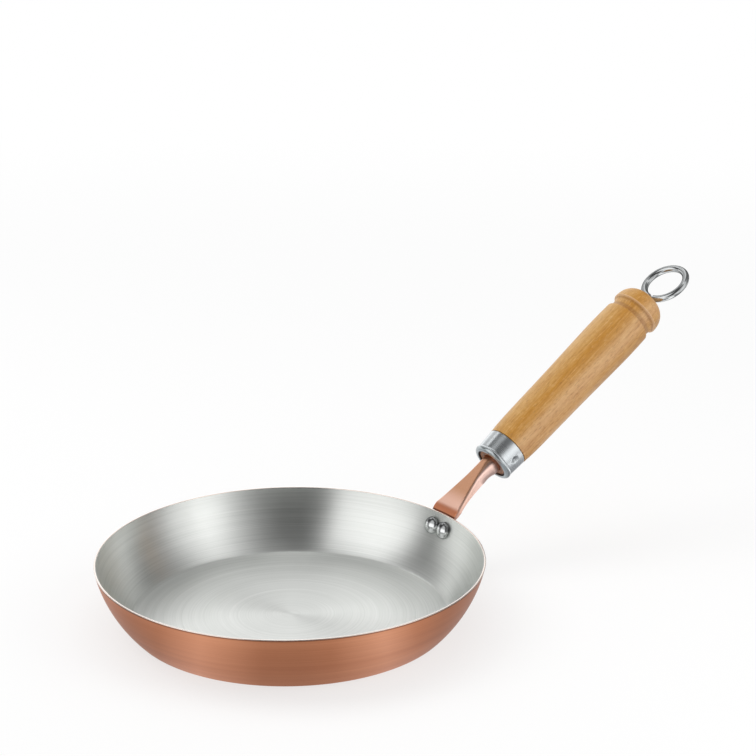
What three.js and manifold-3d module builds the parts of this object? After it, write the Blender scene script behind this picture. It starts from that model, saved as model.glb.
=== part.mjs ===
// A small frying pan for pancakes. A copper shell with a steel lining carries a riveted, copper-plated
// bracket. The bracket's sheet rolls into a tang, and a turned wooden grip is drawn on to that tang by a
// long eye bolt, whose loop hangs the pan up. Millimetres, +Z up. The origin is the middle of the base,
// on the table, and the handle runs along +X.

import * as THREE from 'three';
import { mergeVertices } from 'three/addons/utils/BufferGeometryUtils.js';
import Module from 'manifold-3d';

const wasm = await Module();
wasm.setup();

// Pan
const rimDiameter = 203;
const baseDiameter = 166.8;
const panHeight = 33.2;
const wallBulge = 2.7;
const copperThickness = 0.6;
const liningThickness = 0.4;
const heelInnerRadius = 1.5;

// Line of the handle: its slope in degrees, and how far under the rim it crosses the rim's radius
const handleRiseAngle = 32.9;
const handleDrop = 0.7;

// Rivets
const rivetHeadDiameter = 9.4;
const rivetHeadHeight = 3.1;
const rivetHeadEdge = 0.5;
const rivetHeadGap = 0.4;
const rivetShankDiameter = 4.8;
const rivetTailDiameter = 8.2;
const rivetTailHeight = 1.9;
const rivetDepth = 8.2;

// Bracket, from the plate on the wall to the tang in the grip. A share is of the strap's length, from the
// end of the bend to the tang, and a power says how late a part of the strap's section grows.
const bracketSheet = 1.5;
const plateMargin = 1.9;
const plateTailLength = 8;
const plateCorner = 5;
const bendInnerRadius = 8;
const strapWidth = 20;
const strapTiltAngle = 5.7;
const strapCorner = 1;
const strapSide = 0.05;
const strapLip = 0.4;
const creaseInside = 0.15;
const foldStartShare = -0.28;
const foldEndShare = -0.08;
const curlStartShare = 0.6;
const flatPower = 0.85;
const cornerPower = 3;
const sidePower = 2;
const curlPower = 1.5;
const tangFlat = 1;
const tangSeamAngle = 16;
const tangLead = 3;
const tangDepth = 30;

// Ferrule
const ferruleStart = 40.2;
const ferruleLength = 13.9;
const ferruleFrontDiameter = 23.3;
const ferruleBackDiameter = 24.7;
const ferruleSheet = 0.7;
const ferruleLipRadius = 1.8;
const ferruleLipProud = 0.4;
const ferruleMouthDiameter = 19;
const dimplePlace = 8.3;
const dimpleDiameter = 3.8;
const dimpleDepth = 0.8;

// Grip
const gripShoulder = 24.9;
const gripShoulderRound = 0.3;
const gripNeck = 26.2;
const gripNeckPlace = 12;
const gripMiddle = 27.3;
const gripMiddlePlace = 48;
const gripSwell = 29;
const gripSwellPlace = 86;
const gripTail = 28.6;
const gripTailRound = 0.8;
const gripBodyLength = 104.5;
const grooveDiameter = 25.8;
const grooveReach = 2;
const knobDiameter = 29.4;
const knobReach = 4.8;
const capLength = 11.4;
const capFullness = 2.3;
const capRing = 0.3;
const boreChamfer = 1;

// Eye bolt and the nut in the tang
const wireDiameter = 3.9;
const eyeDiameter = 29;
const eyeOffset = 1.4;
const eyeNeckRadius = 3;
const eyeStandOff = 0.3;
const nutWall = 1;
const nutLength = 10;
const boltOvershoot = 2;

// Clearances
const plateGap = 0.3;
const rivetSeatGap = 0.35;
const rivetHoleGap = 0.25;
const tangGap = 0.5;
const nutGap = 0.3;
const threadGap = 0.3;
const boltGap = 0.6;
const ferruleGap = 0.3;
const eyeEndGap = 0.6;

// Facets
const panFacets = 72;
const heelFacets = 2;
const wallFacets = 7;
const rivetFacets = 24;
const domeFacets = 5;
const plateFacets = 6;
const bendFacets = 5;
const strapFacets = 14;
const cornerFacets = 4;
const handleFacets = 36;
const lipFacets = 6;
const punchFacets = 20;
const swellFacets = 12;
const hollowFacets = 4;
const capFacets = 6;
const nutFacets = 24;
const wireFacets = 12;
const neckFacets = 4;
const loopFacets = 40;
const eyeFacets = 44;

// Values that several pieces share
const radian = Math.PI / 180;
const quarter = Math.PI / 2;
const wallThickness = copperThickness + liningThickness;
const heelRadius = heelInnerRadius + wallThickness;
const rimRadius = rimDiameter / 2;
const rise = handleRiseAngle * radian;
const along = new THREE.Vector2(Math.cos(rise), Math.sin(rise));
const above = new THREE.Vector2(-Math.sin(rise), Math.cos(rise));
const handleFoot = new THREE.Vector2(rimRadius, panHeight - handleDrop);
const wireRadius = wireDiameter / 2;
const nutRadius = wireRadius + threadGap + nutWall;
const tangRadius = nutRadius + nutGap + bracketSheet;
const tangRound = tangRadius - tangFlat;
const tangReach = tangFlat * Math.SQRT2 + tangRound;
const gripFront = ferruleStart + ferruleSheet + ferruleGap;
const gripBack = ferruleStart + ferruleLength + ferruleGap;
const tangEnd = gripFront + tangDepth;

// Welds a closed geometry into a solid that can be cut and joined.
function toSolid(geometry) {
  const bare = geometry.clone();
  bare.deleteAttribute('normal');
  bare.deleteAttribute('uv');
  const welded = mergeVertices(bare);
  const corners = welded.index.array;
  const faces = [];
  for (let i = 0; i < corners.length; i += 3) {
    const [a, b, c] = corners.slice(i, i + 3);
    if (a !== b && b !== c && c !== a) faces.push(a, b, c);
  }
  return new wasm.Manifold(new wasm.Mesh({
    numProp: 3,
    vertProperties: new Float32Array(welded.attributes.position.array),
    triVerts: new Uint32Array(faces),
  }));
}

// A named mesh in a group.
function addPiece(group, name, solid, material) {
  const { vertProperties, triVerts } = solid.getMesh();
  const geometry = new THREE.BufferGeometry();
  geometry.setAttribute('position', new THREE.BufferAttribute(vertProperties, 3));
  geometry.setIndex(new THREE.BufferAttribute(triVerts, 1));
  geometry.computeVertexNormals();
  const mesh = new THREE.Mesh(geometry, material);
  mesh.name = name;
  group.add(mesh);
}

function metal(color, roughness) {
  return new THREE.MeshStandardMaterial({ color, roughness, metalness: 1 });
}

// Turns an outline of (radius, height) points about the Z axis.
function turned(outline, facets) {
  const points = outline.map(([radius, height]) => new THREE.Vector2(radius, height));
  return new THREE.LatheGeometry(points, facets).rotateX(quarter);
}

// A round bar along Z between two heights.
function bar(radius, low, high, facets) {
  return turned([[0, low], [radius, low], [radius, high], [0, high]], facets);
}

// Points on an arc in a plane, both ends included.
function arc(centre, radius, from, to, steps) {
  const points = [];
  for (let i = 0; i <= steps; i++) {
    const angle = from + (to - from) * i / steps;
    points.push([centre.x + radius * Math.cos(angle), centre.y + radius * Math.sin(angle)]);
  }
  return points;
}

function mix(from, to, share) {
  return from + (to - from) * share;
}

// Eases from 0 to 1 as the value passes from one limit to the other.
function ease(value, low, high) {
  return THREE.MathUtils.smoothstep(value, low, high);
}

// Wall of the pan: one arc that bulges outwards between the base's edge and the rim. All layers of the
// wall share its centre, and all layers of the heel share the centre of the heel.
const baseRadius = baseDiameter / 2;
const chord = new THREE.Vector2(rimRadius - baseRadius, panHeight);
const wallRadius = (chord.lengthSq() / 4 + wallBulge ** 2) / (2 * wallBulge);
const outward = new THREE.Vector2(chord.y, -chord.x).normalize();
const wallCentre = new THREE.Vector2(baseRadius, 0)
  .addScaledVector(chord, 0.5)
  .addScaledVector(outward, wallBulge - wallRadius);
const heelSpread = Math.sqrt((wallRadius - heelRadius) ** 2 - (heelRadius - wallCentre.y) ** 2);
const heelCentre = new THREE.Vector2(wallCentre.x + heelSpread, heelRadius);
const heelAngle = Math.atan2(heelRadius - wallCentre.y, heelSpread);

// Surface of the pan at a depth into the metal, from the axis up to a height on the wall.
function panLayer(depth, top) {
  const radius = wallRadius - depth;
  const topAngle = Math.asin((top - wallCentre.y) / radius);
  return [
    [0, depth],
    ...arc(heelCentre, heelRadius - depth, -quarter, heelAngle, heelFacets),
    ...arc(wallCentre, radius, heelAngle, topAngle, wallFacets).slice(1),
  ];
}

// The copper stops under the rim, and the lining turns out over its cut edge.
const copperTop = panHeight - liningThickness;

function shellSolid() {
  return toSolid(turned([
    ...panLayer(0, copperTop),
    ...panLayer(copperThickness, copperTop).reverse(),
  ], panFacets));
}

function liningSolid() {
  return toSolid(turned([
    ...panLayer(copperThickness, copperTop),
    panLayer(0, copperTop).pop(),
    panLayer(0, panHeight).pop(),
    ...panLayer(wallThickness, panHeight).reverse(),
  ], panFacets));
}

// Rivets: two side by side, each square to the wall where it stands.
const rivetHeight = panHeight - rivetDepth;
const rivetAngle = Math.asin((rivetHeight - wallCentre.y) / wallRadius);
const rivetPlace = wallCentre.clone().add(new THREE.Vector2(
  wallRadius * Math.cos(rivetAngle),
  wallRadius * Math.sin(rivetAngle),
));
const rivetSpacing = rivetHeadDiameter + rivetHeadGap;
const rivetSwing = Math.asin(rivetSpacing / 2 / rivetPlace.x);
const rivetHeadSeat = -wallThickness - rivetSeatGap;
const rivetTailSeat = plateGap + bracketSheet + rivetSeatGap;

// A holder whose +Z points out of the wall at one rivet.
function rivetHolder(side) {
  const swing = new THREE.Group();
  swing.rotation.z = side * rivetSwing;
  const holder = new THREE.Group();
  holder.position.set(rivetPlace.x, 0, rivetPlace.y);
  holder.rotation.y = quarter - rivetAngle;
  swing.add(holder);
  swing.updateMatrixWorld(true);
  return { swing, holder };
}

function rivetSolid() {
  const head = rivetHeadDiameter / 2;
  const shank = rivetShankDiameter / 2;
  const tail = rivetTailDiameter / 2;
  const dome = rivetHeadHeight - rivetHeadEdge;
  const outline = [];
  for (let i = 0; i <= domeFacets; i++) {
    const angle = quarter * i / domeFacets;
    outline.push([head * Math.sin(angle), rivetHeadSeat - rivetHeadEdge - dome * Math.cos(angle)]);
  }
  outline.push([head, rivetHeadSeat], [shank, rivetHeadSeat], [shank, rivetTailSeat]);
  for (let i = 0; i <= domeFacets; i++) {
    const angle = quarter * i / domeFacets;
    outline.push([tail * Math.cos(angle), rivetTailSeat + rivetTailHeight * Math.sin(angle)]);
  }
  outline[0][0] = 0;
  outline[outline.length - 1][0] = 0;
  return toSolid(turned(outline, rivetFacets));
}

function rivetHole(holder) {
  const reach = rivetTailSeat + wallThickness + plateTailLength;
  const hole = bar(rivetShankDiameter / 2 + rivetHoleGap, -reach, reach, rivetFacets);
  return toSolid(hole.applyMatrix4(holder.matrixWorld));
}

// Bracket: a sheet that follows the wall, bends over behind the rim, and then folds its sides down until
// it is a round tang. Its stations hold the middle of the face that looks at the pan and the sky.
const plateRadius = wallRadius + plateGap;
const bendRadius = bendInnerRadius + bracketSheet;
const plateHalf = (rivetSpacing + rivetHeadDiameter) / 2 + plateMargin;
const strapHalf = strapWidth / 2;
const strapEdge = strapCorner + strapSide + strapLip;
const strapRise = rise + strapTiltAngle * radian;
const strapAlong = new THREE.Vector2(Math.cos(strapRise), Math.sin(strapRise));
const strapAbove = new THREE.Vector2(-Math.sin(strapRise), Math.cos(strapRise));
const tangStart = ferruleStart - tangLead;
const tangTop = handleFoot.clone().addScaledVector(along, tangStart).addScaledVector(above, tangRadius);

// The bend touches the arc of the plate from outside and the line of the strap from below. The strap's
// line ends on top of the tang, and it starts behind that by its length.
const bendLine = tangTop.clone().addScaledVector(strapAbove, -bendRadius).sub(wallCentre);
const bendAcross = bendLine.dot(strapAlong);
const bendReach = plateRadius + bendRadius;
const strapLength = bendAcross - Math.sqrt(bendAcross ** 2 - bendLine.lengthSq() + bendReach ** 2);
const bendFromWall = bendLine.clone().addScaledVector(strapAlong, -strapLength);
const bendCentre = bendFromWall.clone().add(wallCentre);
const plateTopAngle = Math.atan2(bendFromWall.y, bendFromWall.x);
const bendFrom = plateTopAngle + Math.PI;
const bendTo = quarter + strapRise;
const bendShare = bendRadius * (bendFrom - bendTo) / strapLength;

// Half of the sheet's section, walked from its middle outwards as a flat, a corner, a side and a curl.
function halfSection({ flat, corner, cornerTurn, side, curl, curlTurn }) {
  const walk = [{ across: 0, down: 0, turn: 0 }];
  const step = (length, turn) => {
    const last = walk[walk.length - 1];
    const middle = last.turn + turn / 2;
    const reach = turn === 0 ? length : length * Math.sin(turn / 2) / (turn / 2);
    walk.push({
      across: last.across + reach * Math.cos(middle),
      down: last.down + reach * Math.sin(middle),
      turn: last.turn + turn,
    });
  };
  step(flat, 0);
  for (let i = 0; i < cornerFacets; i++) step(corner / cornerFacets, cornerTurn / cornerFacets);
  step(side, 0);
  for (let i = 0; i < cornerFacets; i++) step(curl / cornerFacets, curlTurn / cornerFacets);
  return walk;
}

// Closed section of the sheet as (across, height) points: along the upper face and back along the lower.
function sheetSection(parts) {
  const half = halfSection(parts);
  const upper = half.map(({ across, down }) => [across, -down]);
  const lower = half.map(({ across, down, turn }) => [
    across - bracketSheet * Math.sin(turn),
    -down - bracketSheet * Math.cos(turn),
  ]);
  const mirrored = (points) => points.slice(1).reverse().map(([across, height]) => [-across, height]);
  return [...mirrored(upper), ...upper, ...lower.slice().reverse(), ...mirrored(lower).reverse()];
}

// Section of a plate of a given half width, as it changes from the end of the bend, at 0, to the tang, at 1.
// Its sides fold down behind the rim, along two straight creases, and they curl in near the tang.
function foldedSection(share, half) {
  const grown = Math.max(share, 0);
  const curlFull = quarter - tangSeamAngle / 2 * radian;
  const cornerTurn = quarter * ease(share, foldStartShare, foldEndShare);
  const cornerLength = mix(strapCorner, tangRound * quarter, grown ** cornerPower);
  return sheetSection({
    flat: mix(half - strapEdge, tangFlat, grown ** flatPower),
    corner: Math.max(cornerLength, (bracketSheet + creaseInside) * cornerTurn),
    cornerTurn,
    side: mix(strapSide, 2 * tangFlat, grown ** sidePower),
    curl: mix(strapLip, tangRound * curlFull, grown ** curlPower),
    curlTurn: curlFull * ease(share, curlStartShare, 1),
  });
}

// Half width of the plate at a distance from its lower end, with round corners there.
function plateHalfWidth(distance, length) {
  const drawn = Math.max(0, plateCorner - distance);
  const round = plateCorner - Math.sqrt(plateCorner ** 2 - drawn ** 2);
  const taper = ease(distance, plateTailLength, length);
  return mix(plateHalf, strapHalf, taper) - round;
}

// One ring of the bracket: a section set at a place, with its upper face towards a direction. A wrap of 1
// bends the section round the pan.
function ringAt(section, place, facing, wrap) {
  return section.map(([across, height]) => {
    const lift = height + wrap * across ** 2 * Math.abs(facing.x) / (2 * place.x);
    return new THREE.Vector3(place.x + lift * facing.x, across, place.y + lift * facing.y);
  });
}

function bracketStations() {
  const stations = [];
  const plateLow = rivetAngle - plateTailLength / plateRadius;
  const plateLength = (plateTopAngle - plateLow) * plateRadius;
  const distances = [0];
  for (let i = 1; i <= plateFacets; i++) {
    distances.push(plateCorner * (1 - Math.cos(quarter * i / plateFacets)));
  }
  for (let i = 1; i <= plateFacets; i++) {
    distances.push(mix(plateCorner, plateLength, i / plateFacets));
  }
  for (const distance of distances) {
    const angle = plateLow + distance / plateRadius;
    const facing = new THREE.Vector2(-Math.cos(angle), -Math.sin(angle));
    const place = wallCentre.clone().addScaledVector(facing, -plateRadius);
    const share = (distance - plateLength) / strapLength - bendShare;
    const section = foldedSection(share, plateHalfWidth(distance, plateLength));
    stations.push({ section, ring: ringAt(section, place, facing, 1) });
  }
  for (let i = 1; i <= bendFacets; i++) {
    const left = 1 - i / bendFacets;
    const angle = mix(bendTo, bendFrom, left);
    const facing = new THREE.Vector2(Math.cos(angle), Math.sin(angle));
    const place = bendCentre.clone().addScaledVector(facing, bendRadius);
    const section = foldedSection(-bendShare * left, strapHalf);
    stations.push({ section, ring: ringAt(section, place, facing, left) });
  }
  for (let i = 1; i <= strapFacets; i++) {
    const share = i / strapFacets;
    const angle = mix(bendTo, quarter + rise, share);
    const facing = new THREE.Vector2(Math.cos(angle), Math.sin(angle));
    const place = tangTop.clone().addScaledVector(strapAlong, strapLength * (share - 1));
    const section = foldedSection(share, strapHalf);
    stations.push({ section, ring: ringAt(section, place, facing, 0) });
  }
  const end = tangTop.clone().addScaledVector(along, tangEnd - tangStart);
  const section = foldedSection(1, strapHalf);
  stations.push({ section, ring: ringAt(section, end, above, 0) });
  return stations;
}

// Skins a row of closed rings and caps its two ends.
function skinned(stations) {
  const count = stations[0].ring.length;
  const places = stations.flatMap(({ ring }) => ring.flatMap((point) => point.toArray()));
  const faces = [];
  for (let row = 0; row + 1 < stations.length; row++) {
    for (let i = 0; i < count; i++) {
      const a = row * count + i;
      const b = row * count + (i + 1) % count;
      faces.push(a, b + count, b, a, a + count, b + count);
    }
  }
  const cap = (station, start, flip) => {
    const outline = station.section.map(([across, height]) => new THREE.Vector2(across, height));
    for (const [a, b, c] of THREE.ShapeUtils.triangulateShape(outline, [])) {
      if (flip) faces.push(start + a, start + c, start + b);
      else faces.push(start + a, start + b, start + c);
    }
  };
  cap(stations[0], 0, true);
  cap(stations[stations.length - 1], (stations.length - 1) * count, false);
  const geometry = new THREE.BufferGeometry();
  geometry.setAttribute('position', new THREE.Float32BufferAttribute(places, 3));
  geometry.setIndex(faces);
  return geometry;
}

// Ferrule: a slightly conical cup with a proud, rolled lip, staked into the wood by a dimple on either side.
// Heights are measured along the handle from where its axis crosses the rim's radius.
const ferruleFront = ferruleFrontDiameter / 2;
const ferruleBack = ferruleBackDiameter / 2;
const ferruleEnd = ferruleStart + ferruleLength;

// Outer radius of the ferrule's cone at a height.
function ferruleCone(height) {
  return mix(ferruleFront, ferruleBack, (height - ferruleStart) / ferruleLength);
}

function ferruleShell() {
  const mouth = ferruleMouthDiameter / 2;
  const lipHeight = ferruleStart + ferruleLipRadius;
  const lipInside = new THREE.Vector2(ferruleCone(lipHeight) - ferruleLipRadius, lipHeight);
  const lipOutside = new THREE.Vector2(lipInside.x + ferruleLipProud, lipHeight);
  const lipTurn = Math.acos((ferruleLipRadius - ferruleLipProud) / ferruleLipRadius);
  const innerLip = ferruleLipRadius - ferruleSheet;
  return [
    [mouth, ferruleStart],
    ...arc(lipOutside, ferruleLipRadius, -quarter, lipTurn, lipFacets),
    [ferruleBack, ferruleEnd],
    [ferruleBack - ferruleSheet, ferruleEnd],
    ...arc(lipInside, innerLip, 0, -quarter, lipFacets),
    [mouth, ferruleStart + ferruleSheet],
    [mouth, ferruleStart],
  ];
}

// A ball at the place of one dimple. The punch that makes the dimple is round and sinks to its depth.
const punchRadius = (dimpleDiameter ** 2 / 4 + dimpleDepth ** 2) / (2 * dimpleDepth);
function dimpleBall(side, radius) {
  const height = ferruleStart + dimplePlace;
  const ball = new THREE.SphereGeometry(radius, punchFacets, punchFacets);
  ball.translate(0, side * (ferruleCone(height) + punchRadius - dimpleDepth), height);
  return toSolid(ball);
}

function ferruleSolid() {
  const outer = toSolid(turned([
    [0, ferruleStart],
    [ferruleFront, ferruleStart],
    [ferruleBack, ferruleEnd],
    [0, ferruleEnd],
  ], handleFacets));
  let ferrule = toSolid(turned(ferruleShell(), handleFacets));
  for (const side of [-1, 1]) {
    ferrule = ferrule.add(dimpleBall(side, punchRadius + ferruleSheet).intersect(outer));
    ferrule = ferrule.subtract(dimpleBall(side, punchRadius));
  }
  return ferrule;
}

// Grip: a tenon under the ferrule, a shoulder, a body that swells towards the hand's heel, a groove, and
// a domed knob. A stepped bore takes the tang and the bolt.
const gripBodyEnd = gripBack + gripBodyLength;
const grooveHeight = gripBodyEnd + grooveReach;
const knobHeight = grooveHeight + knobReach;
const gripEnd = knobHeight + capLength;
const boltBore = wireRadius + boltGap;
const capFlat = boltBore + boreChamfer + capRing;

function gripBody() {
  const start = new THREE.Vector2(gripShoulder / 2, gripBack);
  const tail = new THREE.Vector2(gripTail / 2, gripBodyEnd);
  const swell = new THREE.SplineCurve([
    start.clone().add(new THREE.Vector2(0, gripShoulderRound)),
    new THREE.Vector2(gripNeck / 2, gripBack + gripNeckPlace),
    new THREE.Vector2(gripMiddle / 2, gripBack + gripMiddlePlace),
    new THREE.Vector2(gripSwell / 2, gripBack + gripSwellPlace),
    tail.clone().sub(new THREE.Vector2(0, gripTailRound)),
  ]);
  return [
    [start.x - gripShoulderRound, start.y],
    ...swell.getPoints(swellFacets).map((point) => point.toArray()),
    [tail.x - gripTailRound, tail.y],
  ];
}

// The groove rises in a hollow curve to the knob's sharp edge.
function gripKnob() {
  const groove = grooveDiameter / 2;
  const knob = knobDiameter / 2;
  const points = [];
  for (let i = 0; i <= hollowFacets; i++) {
    const angle = quarter * i / hollowFacets;
    const radius = mix(groove, knob, 1 - Math.cos(angle));
    points.push([radius, mix(grooveHeight, knobHeight, Math.sin(angle))]);
  }
  for (let i = 1; i <= capFacets; i++) {
    const angle = quarter * i / capFacets;
    const radius = mix(capFlat, knob, Math.cos(angle) ** (2 / capFullness));
    points.push([radius, knobHeight + capLength * Math.sin(angle) ** (2 / capFullness)]);
  }
  points[points.length - 1] = [capFlat, gripEnd];
  return points;
}

function gripSolid() {
  const tenon = (height) => ferruleCone(height) - ferruleSheet - ferruleGap;
  const lipHeight = gripFront + ferruleLipRadius - ferruleSheet;
  const tangBore = tangReach + tangGap;
  let grip = toSolid(turned([
    [tangBore, gripFront],
    [tenon(lipHeight) - (lipHeight - gripFront), gripFront],
    [tenon(lipHeight), lipHeight],
    [tenon(gripBack), gripBack],
    ...gripBody(),
    ...gripKnob(),
    [boltBore + boreChamfer, gripEnd],
    [boltBore, gripEnd - boreChamfer],
    [boltBore, tangEnd + tangGap],
    [tangBore, tangEnd + tangGap],
    [tangBore, gripFront],
  ], handleFacets));
  for (const side of [-1, 1]) {
    grip = grip.subtract(dimpleBall(side, punchRadius + ferruleSheet + ferruleGap));
  }
  return grip;
}

// Nut: a threaded barrel fixed in the end of the tang.
const nutStart = tangEnd - nutLength;
function nutSolid() {
  const bore = wireRadius + threadGap;
  return toSolid(turned([
    [bore, nutStart],
    [nutRadius, nutStart],
    [nutRadius, tangEnd],
    [bore, tangEnd],
    [bore, nutStart],
  ], nutFacets));
}

// Eye bolt: a straight shank that bends out of line at its neck and goes round into a loop. The loop lies
// flat across the handle, a little to one side of the shank, and its end closes on the neck.
const loopRadius = eyeDiameter / 2 - wireRadius;
const loopHeight = gripEnd + eyeStandOff + wireRadius + loopRadius;

function eyeBoltSolid() {
  const neckAcross = eyeOffset + eyeNeckRadius;
  const neckBelow = Math.sqrt((loopRadius + eyeNeckRadius) ** 2 - neckAcross ** 2);
  const neckAngle = Math.atan2(neckAcross, neckBelow);
  const loopCentre = new THREE.Vector2(-eyeOffset, loopHeight);
  const neckCentre = new THREE.Vector2(eyeNeckRadius, loopHeight - neckBelow);
  const neckStart = neckCentre.y;
  const endReach = eyeOffset - wireRadius - eyeEndGap;
  const loopStop = -quarter - Math.asin(-endReach / loopRadius);
  const stub = [[0, neckStart - wireDiameter], [0, neckStart - wireRadius]];
  const neck = arc(neckCentre, eyeNeckRadius, Math.PI, quarter + neckAngle, neckFacets);
  const loop = arc(loopCentre, loopRadius, neckAngle - quarter, loopStop + 2 * Math.PI, loopFacets);
  const points = [...stub, ...neck, ...loop.slice(1)];
  const path = new THREE.CatmullRomCurve3(points.map(([y, z]) => new THREE.Vector3(0, y, z)));
  const section = new THREE.Shape().absarc(0, 0, wireRadius, 0, 2 * Math.PI);
  const eye = new THREE.ExtrudeGeometry(section, {
    steps: eyeFacets,
    curveSegments: wireFacets / 2,
    bevelEnabled: false,
    extrudePath: path,
  });
  const shankEnd = nutStart - boltOvershoot;
  const shank = bar(wireRadius, shankEnd, neckStart - wireRadius, wireFacets);
  return toSolid(eye).add(toSolid(shank));
}

// Finishes
const copper = metal(0xb0714f, 0.35);
const steelLining = metal(0xc9ccc9, 0.4);
const platedCopper = metal(0xc98f70, 0.35);
const polishedSteel = metal(0xd8dada, 0.15);
const satinSteel = metal(0xc2c8cb, 0.3);
const zincSteel = metal(0xa9abaa, 0.5);
const wood = new THREE.MeshStandardMaterial({ color: 0xcd9b5f, roughness: 0.55, metalness: 0 });

// Assembly
const pan = new THREE.Group();
const rivets = { rivet_left: rivetHolder(1), rivet_right: rivetHolder(-1) };
let shell = shellSolid();
let lining = liningSolid();
let bracket = toSolid(skinned(bracketStations()));
for (const [name, { swing, holder }] of Object.entries(rivets)) {
  const hole = rivetHole(holder);
  shell = shell.subtract(hole);
  lining = lining.subtract(hole);
  bracket = bracket.subtract(hole);
  addPiece(holder, name, rivetSolid(), polishedSteel);
  pan.add(swing);
}
addPiece(pan, 'pan_shell', shell, copper);
addPiece(pan, 'pan_lining', lining, steelLining);
addPiece(pan, 'handle_bracket', bracket, platedCopper);

// The handle's own group has +Z along the handle.
const handle = new THREE.Group();
handle.position.set(handleFoot.x, 0, handleFoot.y);
handle.rotation.y = quarter - rise;
addPiece(handle, 'ferrule', ferruleSolid(), satinSteel);
addPiece(handle, 'wooden_grip', gripSolid(), wood);
addPiece(handle, 'tang_nut', nutSolid(), zincSteel);
addPiece(handle, 'eye_bolt', eyeBoltSolid(), polishedSteel);
pan.add(handle);

export default pan;
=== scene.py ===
# %% [markdown]
# # A copper pancake pan with a wooden handle
#
# The pan already exists as plain solids, packed in a frame that is never moved. In this lesson each solid
# gets a finer mesh with the same sizes, and each mesh gets a finish that is made of nodes. Lengths in the
# text are millimetres, because the pan was measured that way. Blender itself works in metres.

# %% Open the frame
import math

import bmesh
import bpy
from mathutils import Matrix, Vector


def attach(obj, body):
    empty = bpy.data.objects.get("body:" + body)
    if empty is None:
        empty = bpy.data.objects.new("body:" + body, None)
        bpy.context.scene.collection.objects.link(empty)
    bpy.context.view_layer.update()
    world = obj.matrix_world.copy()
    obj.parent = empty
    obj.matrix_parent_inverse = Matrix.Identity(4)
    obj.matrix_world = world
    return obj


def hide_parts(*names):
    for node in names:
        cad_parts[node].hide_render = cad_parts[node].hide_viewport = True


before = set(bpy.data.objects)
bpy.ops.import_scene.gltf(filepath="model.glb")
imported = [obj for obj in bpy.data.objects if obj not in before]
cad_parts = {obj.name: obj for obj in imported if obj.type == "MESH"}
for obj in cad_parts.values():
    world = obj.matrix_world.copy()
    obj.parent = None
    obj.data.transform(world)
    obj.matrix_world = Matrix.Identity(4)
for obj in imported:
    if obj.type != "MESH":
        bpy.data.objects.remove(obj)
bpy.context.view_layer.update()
scene = bpy.context.scene
MM = 0.001

# %% [markdown]
# ## Camera
#
# The picture was taken with a long lens from a little above the rim. A long lens hardly narrows the far
# side of the rim, so the place of the camera was found by fitting the rim's ellipse and the slope of the
# handle. The direction is written as a compass heading and a dip, which are easier to adjust than three
# Euler angles.

# %% Camera
PICTURE_SIDE = 756
FOCAL_PIXELS = 2091
CAMERA_PLACE = (-0.5676, -0.8288, 0.4570)
HEADING = Vector((0.6018, 0.7986, 0))
DIP = math.radians(18.01)
camera_lens = bpy.data.cameras.new("camera")
camera_lens.lens = FOCAL_PIXELS / PICTURE_SIDE * camera_lens.sensor_width
camera = bpy.data.objects.new("camera", camera_lens)
scene.collection.objects.link(camera)
camera.location = CAMERA_PLACE
gaze = HEADING * math.cos(DIP) - Vector((0, 0, math.sin(DIP)))
camera.rotation_euler = gaze.to_track_quat("-Z", "Y").to_euler()
scene.camera = camera
print("lens:", round(camera_lens.lens, 2), "mm")

# %% [markdown]
# ## Meshes from outlines
#
# Nearly everything on this pan is turned or spun, so one helper turns an outline of (radius, height)
# points about Z. A screw modifier could do the same. A plain loop gives full control over where the rows
# of faces lie, and a tight row beside each edge makes the edge catch light. A second helper skins a row
# of rings, which serves the folded bracket and the bent wire.

# %% Mesh helpers
def as_piece(name, points, faces, sharp=40):
    """A smooth object from points in millimetres, with edges kept sharp above an angle in degrees."""
    mesh = bpy.data.meshes.new(name)
    mesh.from_pydata([Vector(point) * MM for point in points], [], faces)
    tidy = bmesh.new()
    tidy.from_mesh(mesh)
    bmesh.ops.recalc_face_normals(tidy, faces=tidy.faces)
    tidy.to_mesh(mesh)
    tidy.free()
    mesh.polygons.foreach_set("use_smooth", [True] * len(mesh.polygons))
    mesh.set_sharp_from_angle(angle=math.radians(sharp))
    piece = bpy.data.objects.new(name, mesh)
    scene.collection.objects.link(piece)
    print(name, "has", len(mesh.polygons), "faces")
    return piece


def spun(outline, parts):
    """Points and faces of a closed outline that is turned about Z."""
    points, rows = [], []
    for radius, height in outline:
        count = parts if radius > 1e-6 else 1
        rows.append([len(points) + i for i in range(count)])
        for i in range(count):
            angle = 2 * math.pi * i / parts
            points.append((radius * math.cos(angle), radius * math.sin(angle), height))
    if len(rows[0]) > 1:
        rows.append(rows[0])
    faces = []
    for low, high in zip(rows, rows[1:]):
        for i in range(parts):
            j = (i + 1) % parts
            corners = [low[i % len(low)], low[j % len(low)], high[j % len(high)], high[i % len(high)]]
            loop = [c for n, c in enumerate(corners) if c != corners[n - 1]]
            if len(loop) > 2:
                faces.append(loop)
    return points, faces


def skinned(rings):
    """Points and faces of a row of closed rings, with a cap on each end."""
    count = len(rings[0])
    points = [point for ring in rings for point in ring]
    faces = [list(range(count)), [len(points) - 1 - i for i in range(count)]]
    for row in range(len(rings) - 1):
        for i in range(count):
            a, b = row * count + i, row * count + (i + 1) % count
            faces.append([a, b, b + count, a + count])
    return points, faces


print("mesh helpers are ready")

# %% Outline helpers
QUARTER = math.pi / 2


def pointing(angle):
    return Vector((math.cos(angle), math.sin(angle)))


def arc(centre, radius, start, stop, steps):
    turns = [start + (stop - start) * i / steps for i in range(steps + 1)]
    return [(centre[0] + radius * math.cos(a), centre[1] + radius * math.sin(a)) for a in turns]


def between(start, stop, share):
    return start + (stop - start) * share


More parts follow.
